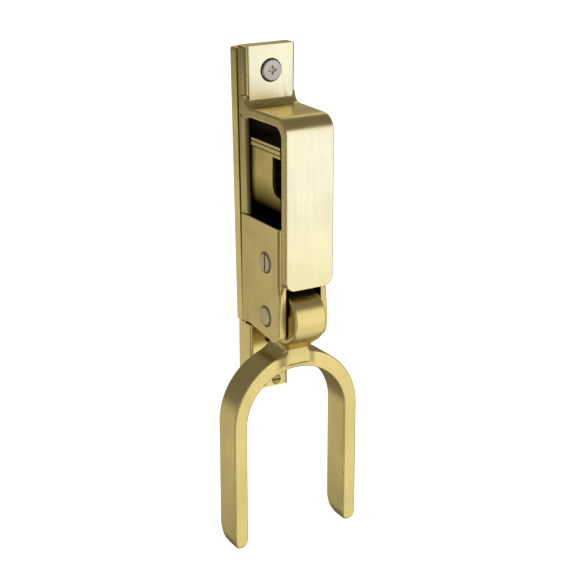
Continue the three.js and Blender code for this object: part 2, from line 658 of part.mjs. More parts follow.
function springSeat(z0, z1) {
  const disc = barZ(z0, z1, SPRING_Y, SPRING_R + SEAT_RIM);
  return subtract(disc, barZ(z0 - PAST, z1 + PAST, SPRING_Y, ROD_R + GAP));
}

class Helix extends THREE.Curve {
  getPoint(t, target = new THREE.Vector3()) {
    const angle = 2 * Math.PI * SPRING_TURNS * t;
    const low = SPRING_BOTTOM + SPRING_WIRE_R;
    const high = SPRING_TOP - SPRING_WIRE_R;
    const x = SPRING_R * Math.cos(angle);
    const y = SPRING_Y + SPRING_R * Math.sin(angle);
    return target.set(x, y, low + (high - low) * t);
  }
}

function returnSpring() {
  const section = new THREE.Shape();
  section.absarc(0, 0, SPRING_WIRE_R, 0, 2 * Math.PI);
  const steps = SPRING_TURNS * SPRING_STEPS;
  const options = { steps, extrudePath: new Helix(), curveSegments: 4, bevelEnabled: false };
  return new THREE.ExtrudeGeometry(section, options);
}

// ---- base fixings ------------------------------------------------------------------------------
function topScrew() {
  const r = TAB_HEAD_R;
  const shoulder = TAB_HEAD_FRONT + TAB_HEAD_CHAMFER;
  const crownR = r - TAB_HEAD_CHAMFER;
  const rim = [[0, TAB_HEAD_BACK], [r, TAB_HEAD_BACK], [r, shoulder]];
  const crown = [[crownR, TAB_HEAD_FRONT], [0, TAB_HEAD_FRONT]];
  const profile = [...rim, ...crown].map(([radius, y]) => new THREE.Vector2(radius, -y));
  const head = new THREE.LatheGeometry(profile, ROUND_STEPS).rotateX(Math.PI).translate(0, 0, TAB_SCREW_Z);
  const shank = barY(-END_SLACK, TAB_HEAD_BACK - GAP, 0, TAB_SCREW_Z, TAB_SHANK_R);
  const { long, short, depth } = TAB_RECESS;
  const front = TAB_HEAD_FRONT - PAST;
  const recess = [[long, short], [short, long]].map(([w, h]) => (
    box(-w, w, front, TAB_HEAD_FRONT + depth, TAB_SCREW_Z - h, TAB_SCREW_Z + h)));
  return subtract(union(head, shank), ...recess);
}

function topWasher() {
  const front = TAB_HEAD_BACK + GAP;
  const ring = barY(TAB_BORE_FLOOR - GAP, front, 0, TAB_SCREW_Z, TAB_BORE_R - GAP);
  return subtract(ring, barY(PLATE_BACK, front - PAST, 0, TAB_SCREW_Z, TAB_SHANK_R + GAP));
}

function blockScrew() {
  const body = barY(-END_SLACK, BLOCK_SCREW_FRONT, 0, BLOCK_SCREW_Z, BLOCK_SCREW_R);
  const across = BLOCK_SCREW_R + PAST;
  const { half, depth } = BLOCK_SLOT;
  const [low, high] = [BLOCK_SCREW_Z - half, BLOCK_SCREW_Z + half];
  const slot = box(-across, across, BLOCK_SCREW_FRONT - PAST, BLOCK_SCREW_FRONT + depth, low, high);
  return subtract(body, slot);
}

function footScrew(side) {
  const x = side * FOOT_SCREW_X;
  const front = BLOCK_FRONT - FOOT_HEAD_PROUD;
  const across = FOOT_HEAD_R + PAST;
  const { half, depth } = FOOT_SLOT;
  const head = barY(BLOCK_FRONT + FOOT_HEAD_THICK, front, x, FOOT_SCREW_Z, FOOT_HEAD_R);
  const shank = barY(FOOT_SHANK_BACK, BLOCK_FRONT + PAST, x, FOOT_SCREW_Z, FOOT_SHANK_R);
  const [low, high] = [FOOT_SCREW_Z - half, FOOT_SCREW_Z + half];
  const slot = box(x - across, x + across, front - PAST, front + depth, low, high);
  return subtract(union(head, shank), slot);
}

function stackRivet(z) {
  return barY(-END_SLACK, RAIL_FRONT + END_SLACK, 0, z, STACK_RIVET_R);
}

function strapPin(side) {
  return barY(STRAP_PIN_BACK, STRAP_PIN_FRONT, side * STRAP_PIN_X, STRAP_PIN_Z, STRAP_PIN_R);
}

// ---- assembly ----------------------------------------------------------------------------------
const BRASS = { color: 0xcdbd82, roughness: 0.34, metalness: 1 };
const BRASS_SHEET = { color: 0xbfae74, roughness: 0.38, metalness: 1 };
const BRASS_DARK = { color: 0x9c8c5c, roughness: 0.45, metalness: 1 };
const STEEL = { color: 0xb9b6ad, roughness: 0.3, metalness: 1 };
const NYLON = { color: 0x2c2a26, roughness: 0.6, metalness: 0 };

const holder = new THREE.Group();

function add(name, geometry, finish) {
  const solid = geometry.index ? geometry.toNonIndexed() : geometry;
  solid.computeVertexNormals();
  const mesh = new THREE.Mesh(solid, new THREE.MeshStandardMaterial({ ...finish, flatShading: true }));
  mesh.name = name;
  holder.add(mesh);
}

add('back_plate', backPlate(), BRASS);
add('core_bar', coreBar(), BRASS);
add('rail_body', railBody(), BRASS);
add('cover_strap', coverStrap(), BRASS);
add('strap_pin_left', strapPin(-1), STEEL);
add('strap_pin_right', strapPin(1), STEEL);
add('stack_rivet_upper', stackRivet(STACK_RIVET_Z[0]), BRASS_DARK);
add('stack_rivet_lower', stackRivet(STACK_RIVET_Z[1]), BRASS_DARK);
add('top_screw', topScrew(), STEEL);
add('top_washer', topWasher(), STEEL);
add('block_screw', blockScrew(), STEEL);
add('foot_screw_left', footScrew(-1), BRASS_DARK);
add('foot_screw_right', footScrew(1), BRASS_DARK);
add('channel', channel(), BRASS_SHEET);
add('spring_stirrup', springStirrup(), BRASS_SHEET);
add('stirrup_cap', stirrupCap(), BRASS_SHEET);
add('stirrup_screw_left', stirrupScrew(-1), STEEL);
add('stirrup_screw_right', stirrupScrew(1), STEEL);
add('cam_plunger', camPlunger(), BRASS_DARK);
add('plunger_shoe', plungerShoe(), NYLON);
add('spring_rod', springRod(), STEEL);
add('spring_seat_lower', springSeat(PLUNGER_TOP + GAP, SPRING_BOTTOM - GAP), STEEL);
add('spring_seat_upper', springSeat(SPRING_TOP + GAP, STIRRUP_TOP - STIRRUP_SHEET - GAP), STEEL);
add('return_spring', returnSpring(), STEEL);
add('fork', fork(), BRASS);
add('pivot_bush', pivotBush(), BRASS_DARK);
add('pivot_pin', pivotPin(), STEEL);
add('thrust_washer_left', thrustWasher(-1), NYLON);
add('thrust_washer_right', thrustWasher(1), NYLON);

export default holder;
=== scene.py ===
"""Door holder with a hinged fork in brushed brass: looks, light and camera."""
import json
import math

import bmesh
import bpy
import numpy as np
import openvdb
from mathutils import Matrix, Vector

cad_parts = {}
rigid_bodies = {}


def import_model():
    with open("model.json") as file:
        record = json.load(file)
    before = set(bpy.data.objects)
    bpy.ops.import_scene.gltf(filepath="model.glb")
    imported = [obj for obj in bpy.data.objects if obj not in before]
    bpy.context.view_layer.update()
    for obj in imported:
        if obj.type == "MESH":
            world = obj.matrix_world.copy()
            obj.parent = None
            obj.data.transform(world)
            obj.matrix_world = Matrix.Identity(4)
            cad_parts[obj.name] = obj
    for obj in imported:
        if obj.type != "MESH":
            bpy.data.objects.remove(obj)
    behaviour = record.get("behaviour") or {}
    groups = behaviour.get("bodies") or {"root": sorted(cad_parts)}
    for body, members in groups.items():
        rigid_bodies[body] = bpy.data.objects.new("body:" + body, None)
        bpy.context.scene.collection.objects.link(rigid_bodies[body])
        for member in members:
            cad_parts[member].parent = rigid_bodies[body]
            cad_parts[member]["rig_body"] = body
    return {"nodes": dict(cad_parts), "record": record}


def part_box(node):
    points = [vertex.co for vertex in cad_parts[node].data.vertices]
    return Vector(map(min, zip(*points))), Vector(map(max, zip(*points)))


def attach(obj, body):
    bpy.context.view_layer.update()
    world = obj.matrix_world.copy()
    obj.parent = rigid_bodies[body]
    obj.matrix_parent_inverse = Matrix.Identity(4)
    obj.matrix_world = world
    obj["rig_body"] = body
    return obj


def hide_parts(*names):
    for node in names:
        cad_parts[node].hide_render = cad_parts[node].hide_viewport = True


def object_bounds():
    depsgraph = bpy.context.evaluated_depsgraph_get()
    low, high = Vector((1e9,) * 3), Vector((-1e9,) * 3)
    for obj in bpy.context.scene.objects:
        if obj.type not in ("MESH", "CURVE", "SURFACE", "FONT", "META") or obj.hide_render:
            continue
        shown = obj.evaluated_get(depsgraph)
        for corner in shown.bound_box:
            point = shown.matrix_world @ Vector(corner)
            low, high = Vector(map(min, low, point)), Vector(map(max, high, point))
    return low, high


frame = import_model()
CAD_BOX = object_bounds()

MM = 0.001

# Camera: where it stands round the object, in degrees, and the point that it looks at.
CAMERA_AZIMUTH = -30.5
CAMERA_ELEVATION = 18.8
CAMERA_DISTANCE = 725 * MM
CAMERA_TARGET = Vector((13.4, -6.3, -37.3)) * MM
CAMERA_LENS = 93.75
CAMERA_SENSOR = 36
CAMERA_NEAR = 0.01
CAMERA_FAR = 200

WORLD_COLOR = (1.0, 0.98, 0.95)
WORLD_STRENGTH = 0.2

FLOOR_DROP = 0.30                      # floor level below the fork's tips
FLOOR_HALF = 30
FLOOR_COLOR = (0.93, 0.93, 0.93)
FLOOR_ROUGHNESS = 0.9
FLOOR_GLOW = 1.0

# Soft boxes: azimuth and elevation in degrees, distance and (width, height) in metres, and radiance.
SOFT_BOXES = {
    "key": (34, 3, 0.9, (0.95, 0.96), 1.0),
    "low_fill": (30, -48, 0.9, (0.9, 0.76), 0.8),
    "side_card": (-150, -20, 0.9, (0.9, 0.45), 0.48),
    "edge_strip": (-62, -17, 0.9, (0.16, 0.9), 1.5),
    "back_top": (150, 34, 1.2, (0.9, 0.5), 0.75),
}


def box_mm(node):
    """The CAD box of a node, as two numpy points in millimetres."""
    low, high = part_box(node)
    return np.array(low) / MM, np.array(high) / MM


def centre_mm(node):
    low, high = box_mm(node)
    return (low + high) / 2


def add_object(name, data):
    obj = bpy.data.objects.new(name, data)
    bpy.context.scene.collection.objects.link(obj)
    return obj


def node_tree(owner):
    owner.use_nodes = True
    tree = owner.node_tree
    tree.nodes.clear()
    return tree


# ---- camera, floor and light -------------------------------------------------------------------
def from_angles(azimuth, elevation):
    """Unit vector towards a place round the object, from degrees; azimuth 0 is straight in front."""
    turn, rise = math.radians(azimuth), math.radians(elevation)
    level = math.cos(rise)
    return Vector((math.sin(turn) * level, -math.cos(turn) * level, math.sin(rise)))


def aim(obj, direction):
    obj.rotation_mode = "QUATERNION"
    obj.rotation_quaternion = direction.to_track_quat("-Z", "Y")


def make_camera():
    data = bpy.data.cameras.new("camera")
    data.lens = CAMERA_LENS
    data.sensor_width = CAMERA_SENSOR
    data.clip_start = CAMERA_NEAR
    data.clip_end = CAMERA_FAR
    camera = add_object("camera", data)
    back = from_angles(CAMERA_AZIMUTH, CAMERA_ELEVATION)
    camera.location = CAMERA_TARGET + back * CAMERA_DISTANCE
    aim(camera, -back)
    bpy.context.scene.camera = camera


def make_world():
    world = bpy.data.worlds.new("studio")
    bpy.context.scene.world = world
    tree = node_tree(world)
    output = tree.nodes.new("ShaderNodeOutputWorld")
    background = tree.nodes.new("ShaderNodeBackground")
    background.inputs["Color"].default_value = (*WORLD_COLOR, 1)
    background.inputs["Strength"].default_value = WORLD_STRENGTH
    tree.links.new(background.outputs["Background"], output.inputs["Surface"])


def floor_material():
    material = bpy.data.materials.new("floor")
    tree = node_tree(material)
    output = tree.nodes.new("ShaderNodeOutputMaterial")
    shader = tree.nodes.new("ShaderNodeBsdfPrincipled")
    shader.inputs["Base Color"].default_value = (*FLOOR_COLOR, 1)
    shader.inputs["Roughness"].default_value = FLOOR_ROUGHNESS
    shader.inputs["Emission Color"].default_value = (1, 1, 1, 1)
    shader.inputs["Emission Strength"].default_value = FLOOR_GLOW
    tree.links.new(shader.outputs["BSDF"], output.inputs["Surface"])
    return material


def make_floor():
    """A plain glowing floor that only the camera sees, so that it adds nothing to the light."""
    level = CAD_BOX[0].z - FLOOR_DROP
    turns = ((-1, -1), (1, -1), (1, 1), (-1, 1))
    corners = [(x * FLOOR_HALF, y * FLOOR_HALF, level) for x, y in turns]
    mesh = bpy.data.meshes.new("floor")
    mesh.from_pydata(corners, [], [(0, 1, 2, 3)])
    mesh.materials.append(floor_material())
    floor = add_object("floor", mesh)
    floor.visible_glossy = False
    floor.visible_diffuse = False
    floor.visible_shadow = False


def soft_box(name, azimuth, elevation, distance, size, radiance):
    """A rectangular soft light of an even brightness, facing the middle of the object."""
    centre = (CAD_BOX[0] + CAD_BOX[1]) / 2
    data = bpy.data.lights.new(name, "AREA")
    data.shape = "RECTANGLE"
    data.size, data.size_y = size
    data.energy = radiance * math.pi * size[0] * size[1]
    light = add_object(name, data)
    light.visible_camera = False
    direction = from_angles(azimuth, elevation)
    light.location = centre + direction * distance
    aim(light, -direction)


# ---- rounded solids as distance fields ---------------------------------------------------------
def rounded_both(a, b, radius):
    """Inside of both fields, with the edge where they meet rounded off."""
    a, b = a + radius, b + radius
    return np.hypot(np.maximum(a, 0), np.maximum(b, 0)) + np.minimum(np.maximum(a, b), 0) - radius


def blended(a, b, reach):
    """Union of two fields, with a soft blend that reaches this far along each."""
    share = np.clip(0.5 + 0.5 * (b - a) / reach, 0, 1)
    return b * (1 - share) + a * share - reach * share * (1 - share)


def filleted(a, b, radius):
    """Union of two fields, with a round fillet of this radius where they meet."""
    inward = np.hypot(np.maximum(radius - a, 0), np.maximum(radius - b, 0))
    return np.maximum(radius, np.minimum(a, b)) - inward


def smooth_step(value):
    value = np.clip(value, 0, 1)
    return value * value * (3 - 2 * value)


RELAX_ROUNDS = 3                       # rounds of evening out a mesh's points along its surface
RELAX_SHARE = 0.6                      # share of the way to the middle of the neighbours
SETTLE_ROUNDS = 2                      # steps back onto the surface after each round
NUDGE_SHARE = 0.1                      # share of a grid step over which a slope is measured
LEAST_SLOPE = 0.2                      # squared slope under which a settling step grows no longer


def slopes(field, points, nudge):
    """The field's slope at each point."""
    parts = []
    for axis in range(3):
        shift = np.zeros(3)
        shift[axis] = nudge
        parts.append(field(*(points + shift).T) - field(*(points - shift).T))
    return np.stack(parts, axis=1) / (2 * nudge)


def unit(vectors):
    return vectors / np.maximum(np.linalg.norm(vectors, axis=1), 1e-9)[:, None]


def side_ends(quads, triangles):
    """Both ends of each side of each face, taken in each direction."""
    ends = np.concatenate([rim[:, [i, (i + 1) % rim.shape[1]]]
                           for rim in (quads, triangles) if len(rim) for i in range(rim.shape[1])])
    return np.concatenate([ends, ends[:, ::-1]])


def relaxed(points, ends, field, step):
    """The points evened out along the field's zero surface."""
    neighbours = np.maximum(np.bincount(ends[:, 0], minlength=len(points)), 1)[:, None]
    for _ in range(RELAX_ROUNDS):
        total = np.stack([np.bincount(ends[:, 0], weights=points[ends[:, 1], axis], minlength=len(points))
                          for axis in range(3)], axis=1)
        pull = total / neighbours - points
        outward = unit(slopes(field, points, step * NUDGE_SHARE))
        along = pull - (pull * outward).sum(axis=1)[:, None] * outward
        points = points + RELAX_SHARE * along
        for _ in range(SETTLE_ROUNDS):
            slope = slopes(field, points, step * NUDGE_SHARE)
            steepness = np.maximum((slope ** 2).sum(axis=1), LEAST_SLOPE)
            points = points - np.clip(field(*points.T) / steepness, -step, step)[:, None] * slope
    return points


def iso_piece(name, node, field, low, high, step):
    """Mesh of the field's zero surface, with its points and normals taken from the field."""
    axes = [np.arange(a, b + step, step) for a, b in zip(low, high)]
    grid = openvdb.FloatGrid(background=float(step * 3))
    grid.copyFromArray(field(*np.meshgrid(*axes, indexing="ij")).astype(np.float32))
    places, triangles, quads = grid.convertToPolygons(isovalue=0.0, adaptivity=0.0)
    points = relaxed(places * step + np.array(low), side_ends(quads, triangles), field, step)
    normals = unit(slopes(field, points, step * NUDGE_SHARE))
    mesh = bpy.data.meshes.new(name)
    mesh.from_pydata((points * MM).tolist(), [], [tuple(face) for rim in (quads, triangles) for face in rim])
    mesh.validate()
    mesh.update()
    mesh.shade_smooth()
    piece = add_object(name, mesh)
    mesh.normals_split_custom_set_from_vertices(normals.tolist())
    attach(piece, frame["nodes"][node]["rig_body"])
    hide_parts(node)
    return piece


# Fork: bar bent to an arch, with a neck that runs up into the hub.
BAR_THICK = 7
CROWN_THICK = 7.9
BAR_DEPTH = 15.6
BAR_EDGE = 0.9
ARCH_RISE = 62.4                       # from the tips up to the middle of the arch
TIP_ROUND = 6                          # height over which the tips narrow
TIP_BACK_CORNER = 11
TIP_FRONT_CORNER = 3
HUB_R = 12.15
HUB_HALF = 8
HUB_EDGE = 0.9
HUB_FILLET = 4
BOSS_R = 8
FORK_BORE_R = 4.5
NECK_HALF = 6.5
NECK_FRONT = -45
NECK_BACK = -22.6
NECK_EDGE = 2.2
NECK_START = 2                         # depth below the crown where the neck's front starts to lean out
NECK_FALL = 13                         # height over which the neck's front runs out from the arch
NECK_SET = 0.4                         # the neck's front sits this far behind the bar's at its foot
NECK_SINK = 3.5                        # how far the neck runs down into the crown
NECK_BLEND = 6
FORK_STEP = 0.5
FORK_MARGIN = 2


def bar_front_view(side, z, tip_z, arch_z, arch_r):
    """The bar's legs, arch and narrowed tips, seen from the front."""
    half = BAR_THICK / 2
    above = np.maximum(z - arch_z, 0)
    angle = np.arctan2(above, side)
    inner_x, inner_z = arch_r - BAR_THICK, arch_r - CROWN_THICK
    inner = 1 / np.sqrt((np.cos(angle) / inner_x) ** 2 + (np.sin(angle) / inner_z) ** 2)
    middle = np.where(z > arch_z, (arch_r + inner) / 2, arch_r - half)
    thick = np.where(z > arch_z, (arch_r - inner) / 2, half)
    across = np.abs(np.where(z > arch_z, np.hypot(side, above), side) - middle)
    below = np.maximum(tip_z + TIP_ROUND - z, 0) * half / TIP_ROUND
    return np.hypot(across, below) - thick


def bar_side_view(y, z, tip_z, bar_back, bar_front):
    """The bar's depth, with the lower corners of its tips rounded, seen from the side."""
    depth = np.maximum(y - bar_back, bar_front - y)
    back_y, back_z = bar_back - TIP_BACK_CORNER, tip_z + TIP_BACK_CORNER
    back_corner = np.hypot(np.maximum(y - back_y, 0), np.maximum(back_z - z, 0)) - TIP_BACK_CORNER
    front_y, front_z = bar_front + TIP_FRONT_CORNER, tip_z + TIP_FRONT_CORNER
    front_corner = np.hypot(np.maximum(front_y - y, 0), np.maximum(front_z - z, 0)) - TIP_FRONT_CORNER
    depth = np.where((y > back_y) & (z < back_z), back_corner, depth)
    return np.where((y < front_y) & (z < front_z), front_corner, depth)


def neck_field(side, y, z, bar_front, crown_z, hub_z):
    """The neck between the arch's crown and the hub, whose front leans out as it rises."""
    rise = smooth_step((z - crown_z + NECK_START) / NECK_FALL)
    neck_front = bar_front + NECK_SET + (NECK_FRONT - bar_front) * rise
    plan = rounded_both(side - NECK_HALF, np.maximum(y - NECK_BACK, neck_front - y), NECK_EDGE)
    return np.maximum(plan, np.maximum(z - hub_z, crown_z - NECK_SINK - z))


def fork_field(x, y, z):
    low, high = box_mm("fork")
    pivot = centre_mm("pivot_pin")
    side = np.abs(x)
    arch_r, bar_back, tip_z = high[0], high[1], low[2]
    bar_front = bar_back - BAR_DEPTH
    arch_z = tip_z + ARCH_RISE
    hub_y, hub_z = low[1] + HUB_R, high[2] - HUB_R
    front_view = bar_front_view(side, z, tip_z, arch_z, arch_r)
    bar = rounded_both(front_view, bar_side_view(y, z, tip_z, bar_back, bar_front), BAR_EDGE)
    neck = neck_field(side, y, z, bar_front, arch_z + arch_r, hub_z)
    hub = rounded_both(np.hypot(y - hub_y, z - hub_z) - HUB_R, side - HUB_HALF, HUB_EDGE)
    from_pivot = np.hypot(y - pivot[1], z - pivot[2])
    boss = rounded_both(from_pivot - BOSS_R, side - HUB_HALF, HUB_EDGE)
    body = filleted(blended(bar, neck, NECK_BLEND), np.minimum(hub, boss), HUB_FILLET)
    return np.maximum(body, FORK_BORE_R - from_pivot)


def fork_piece():
    low, high = box_mm("fork")
    return iso_piece("fork_body", "fork", fork_field, low - FORK_MARGIN, high + FORK_MARGIN, FORK_STEP)


# Cover strap: a bent bar whose root wraps round the rail with a fillet.
STRAP_THICK = 4.5
STRAP_BEND = 8
STRAP_INNER_BEND = 5.5
STRAP_EDGE = 0.8
STRAP_CORNER = 5
STRAP_HALF = 12.5
LEDGE_TOP = 55.8
ROOT_BACK = -7.75
ROOT_LOW = 50.6
ROOT_HIGH = 60.4
ROOT_CORNER = 4.1
ROOT_FILLET = 4.6
ROOT_BLEND = 1.5
ROOT_SINK = 1                          # how far the strap's bar runs into the root
ARM_INNER = 11.8                       # half the width between the root's two arms
TAB_CORNER = 2.6
RAIL_FOOT_HALF = 11.2
SKIN = 0.05                            # film of air between the strap's root and the rail
STRAP_STEP = 0.45
STRAP_MARGIN_BELOW = 1.5
STRAP_MARGIN_ABOVE = 4


def rail_half(z):
    """Half width of the rail, which narrows evenly downwards from its top."""
    low, high = box_mm("rail_body")
    return high[0] - (high[0] - RAIL_FOOT_HALF) * (high[2] - z) / (high[2] - low[2])


def bent_bar(side, y, z, low, high, tab_front):
    """The strap's ledge and front plate, which narrow from the root to the bend."""
    front, bottom = low[1], low[2]
    reach = np.clip((tab_front - y) / (tab_front - front - STRAP_BEND), 0, 1)
    half = high[0] - (high[0] - STRAP_HALF) * reach
    outside = rounded_both(front - y, z - LEDGE_TOP, STRAP_BEND)
    inside = rounded_both(front + STRAP_THICK - y, z - LEDGE_TOP + STRAP_THICK, STRAP_INNER_BEND)
    sheet = np.maximum(np.maximum(outside, -inside), y - tab_front - ROOT_SINK)
    front_view = rounded_both(side - half, bottom - z, STRAP_CORNER)
    return rounded_both(sheet, front_view, STRAP_EDGE)


def strap_field(x, y, z):
    low, high = box_mm("cover_strap")
    tab_front = box_mm("rail_body")[0][1]
    side = np.abs(x)
    bar = bent_bar(side, y, z, low, high, tab_front)
    root_side = rounded_both(y - ROOT_BACK, np.maximum(z - ROOT_HIGH, ROOT_LOW - z), ROOT_CORNER)
    root = rounded_both(np.maximum(root_side, tab_front + ROOT_SINK - y), side - high[0], STRAP_EDGE)
    tab = rounded_both(side - rail_half(z), tab_front - y, TAB_CORNER)
    above = np.maximum(tab, ROOT_LOW + 2 * STRAP_EDGE - z)
    whole = blended(filleted(bar, above, ROOT_FILLET), root, ROOT_BLEND)
    whole = np.maximum(whole, side - high[0])
    # the root stops at its lower edge, while the bar ahead of it runs on down
    whole = np.where(y < tab_front - ROOT_SINK, whole, np.maximum(whole, ROOT_LOW - z))
    # the rail is cut out, except where the arms of the root reach round into its edges
    pocket = np.maximum(root_side, ARM_INNER - side)
    return np.maximum(whole, SKIN - np.maximum(tab, -pocket))


def strap_piece():
    low, high = box_mm("cover_strap")
    bottom, top = low - STRAP_MARGIN_BELOW, high + STRAP_MARGIN_ABOVE
    return iso_piece("cover_strap_body", "cover_strap", strap_field, bottom, top, STRAP_STEP)


# Channel: a folded sheet with two rounded ears that bulge a little round the hub.
SHEET = 1.4
CHANNEL_HALF = 12.5
CHANNEL_BEND = 3
CHANNEL_EDGE = 0.3
FLARE_LEAD = 0.9                       # how far ahead of the rail the cheeks start to flare
CHEEK_STEP = 0.4                       # the cheeks are this much thinner beside the rail
CHEEK_STEP_REACH = 0.6
EAR_BEND = 0.9
EAR_BEND_RISE = 1                      # above the strap's lower edge, where the bend starts to tighten
EAR_BEND_FALL = 6                      # height over which it does
EAR_BULGE = 0.8
EAR_BULGE_REACH = 7.0
EAR_INNER = 9.2
EAR_CORNER = 6.5
EAR_RISE = 2.8                         # rise of the ears' lower edge from its front to the rail
EAR_BACK_GAP = 1                       # that rise ends this far ahead of the rail
NOSE_CLEARANCE = 20.8
SLOT_DEPTH = 3 * SHEET
HEAD_R = 4.9
HEAD_GAP = 0.3
HEAD_SINK = 2 * SHEET                  # depth of the cones in which the heads sit
HEAD_CONE_SLOPE = 0.7
CHANNEL_STEP = 0.4
CHANNEL_MARGIN = 1.2


def folded_sheet(side, y, z, front, back, tab_front, pivot):
    """The channel's web and cheeks as one bent sheet, before its edges are cut."""
    flare = np.clip((y - tab_front + FLARE_LEAD) / (back - tab_front + FLARE_LEAD), 0, 1)
    ahead = np.clip((pivot[1] - y) / (pivot[1] - front), 0, 1)
    bulge = EAR_BULGE * ahead ** 2 * np.exp(-((z - pivot[2]) / EAR_BULGE_REACH) ** 2)
    half = CHANNEL_HALF + (box_mm("channel")[1][0] - CHANNEL_HALF) * flare + bulge
    tighten = smooth_step((box_mm("cover_strap")[0][2] + EAR_BEND_RISE - z) / EAR_BEND_FALL)
    bend = CHANNEL_BEND + (EAR_BEND - CHANNEL_BEND) * tighten
    outside = rounded_both(side - half, front - y, bend)
    inner_half = CHANNEL_HALF - SHEET + CHEEK_STEP * smooth_step((y - tab_front) / CHEEK_STEP_REACH)
    inside = rounded_both(side - inner_half, front + SHEET - y, CHANNEL_BEND - SHEET)
    return np.maximum(np.maximum(outside, -inside), y - back)


def channel_field(x, y, z):
    low, high = box_mm("channel")
    pivot = centre_mm("pivot_pin")
    tab_front = box_mm("rail_body")[0][1]
    side = np.abs(x)
    front, back, top, ear_low = low[1], high[1], high[2], low[2]
    shell = folded_sheet(side, y, z, front, back, tab_front, pivot)
    corner_y = front + EAR_CORNER
    slope = np.clip((y - corner_y) / (tab_front - EAR_BACK_GAP - corner_y), 0, 1)
    ear = rounded_both(front - y, ear_low + EAR_RISE * slope - z, EAR_CORNER)
    cheeks = rounded_both(shell, np.maximum(ear, z - top), CHANNEL_EDGE)
    sweep = np.hypot(y - pivot[1], z - pivot[2]) - NOSE_CLEARANCE
    slot = np.maximum(y - front - SLOT_DEPTH, z - pivot[2])
    opening = np.maximum(np.minimum(sweep, slot), side - EAR_INNER)
    cheeks = rounded_both(cheeks, -opening, CHANNEL_EDGE)
    for head_z in (pivot[2], centre_mm("stirrup_screw_left")[2]):
        cone = np.hypot(y - pivot[1], z - head_z) - (HEAD_R + HEAD_GAP - (CHANNEL_HALF - side))
        seat = np.maximum(cone * HEAD_CONE_SLOPE, CHANNEL_HALF - HEAD_SINK - side)
        cheeks = np.maximum(cheeks, -seat)
    return cheeks


def channel_piece():
    low, high = box_mm("channel")
    bottom, top = low - CHANNEL_MARGIN, high + CHANNEL_MARGIN
    return iso_piece("channel_body", "channel", channel_field, bottom, top, CHANNEL_STEP)


# ---- refined copies of the CAD solids ----------------------------------------------------------
WELD = 0.002 * MM
FLAT_ANGLE = math.radians(0.6)         # faces that turn less than this become one flat
EDGE_ANGLE = math.radians(28)          # edges sharper than this are eased
EASING_SEGMENTS = 3


def flats_joined(mesh):
    """Weld a faceted mesh's points and join its flats, with every face shaded smooth."""
    work = bmesh.new()
    work.from_mesh(mesh)
    bmesh.ops.remove_doubles(work, verts=work.verts, dist=WELD)
    bmesh.ops.dissolve_limit(work, angle_limit=FLAT_ANGLE, verts=work.verts, edges=work.edges)
    for face in work.faces:
        face.smooth = True
    work.to_mesh(mesh)
    work.free()


def refined(node, easing):
    """A copy of a CAD solid with its flats joined, its edges eased and its curves smooth."""
    source = frame["nodes"][node]
    mesh = source.data.copy()
    mesh.materials.clear()
    flats_joined(mesh)
    mesh.set_sharp_from_angle(angle=EDGE_ANGLE)
    piece = add_object(node + "_piece", mesh)
    modifier = piece.modifiers.new("eased_edges", "BEVEL")
    modifier.width = easing * MM
    modifier.segments = EASING_SEGMENTS
    modifier.limit_method = "ANGLE"
    modifier.angle_limit = EDGE_ANGLE
    modifier.harden_normals = True
    modifier.miter_outer = "MITER_ARC"
    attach(piece, source["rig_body"])
    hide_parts(node)
    return piece


# ---- materials ---------------------------------------------------------------------------------
class Nodes:
    """Short calls for building a material's node tree."""

    def __init__(self, name):
        self.material = bpy.data.materials.new(name)
        self.tree = node_tree(self.material)

    @classmethod
    def of(cls, material):
        """The same calls for a material that is already there."""
        nodes = cls.__new__(cls)
        nodes.material = material
        nodes.tree = material.node_tree
        return nodes

    def add(self, kind, **settings):
        node = self.tree.nodes.new(kind)
        for key, value in settings.items():
            setattr(node, key, value)
        return node

    def link(self, source, target):
        self.tree.links.new(source, target)

    def noise(self, vector, scale):
        node = self.add("ShaderNodeTexNoise")
        node.inputs["Scale"].default_value = scale
        node.inputs["Detail"].default_value = NOISE_DETAIL
        self.link(vector, node.inputs["Vector"])
        return node.outputs["Fac"]

    def spread(self, value, low, high, to_low, to_high):
        """The value, moved from the range low to high into another range."""
        node = self.add("ShaderNodeMapRange")
        for name, number in (("From Min", low), ("From Max", high), ("To Min", to_low), ("To Max", to_high)):
            node.inputs[name].default_value = number
        self.link(value, node.inputs["Value"])
        return node.outputs["Result"]

    def tint(self, color, factor):
        """A colour made lighter or darker by a factor."""
        node = self.add("ShaderNodeVectorMath", operation="SCALE")
        if isinstance(color, tuple):
            node.inputs[0].default_value = color
        else:
            self.link(color, node.inputs[0])
        self.link(factor, node.inputs["Scale"])
        return node.outputs["Vector"]

    def larger(self, a, b):
        node = self.add("ShaderNodeMath", operation="MAXIMUM")
        self.link(a, node.inputs[0])
        self.link(b, node.inputs[1])
        return node.outputs["Value"]

    def parts(self, output):
        """The three parts of a texture coordinate, such as Object or Normal."""
        node = self.add("ShaderNodeSeparateXYZ")
        self.link(self.add("ShaderNodeTexCoord").outputs[output], node.inputs["Vector"])
        return node.outputs

    def mix(self, factor, a, b):
        node = self.add("ShaderNodeMix", data_type="RGBA")
        self.link(factor, node.inputs["Factor"])
        for name, value in (("A", a), ("B", b)):
            if isinstance(value, tuple):
                node.inputs[name].default_value = (*value, 1)
            else:
                self.link(value, node.inputs[name])
        return node.outputs["Result"]


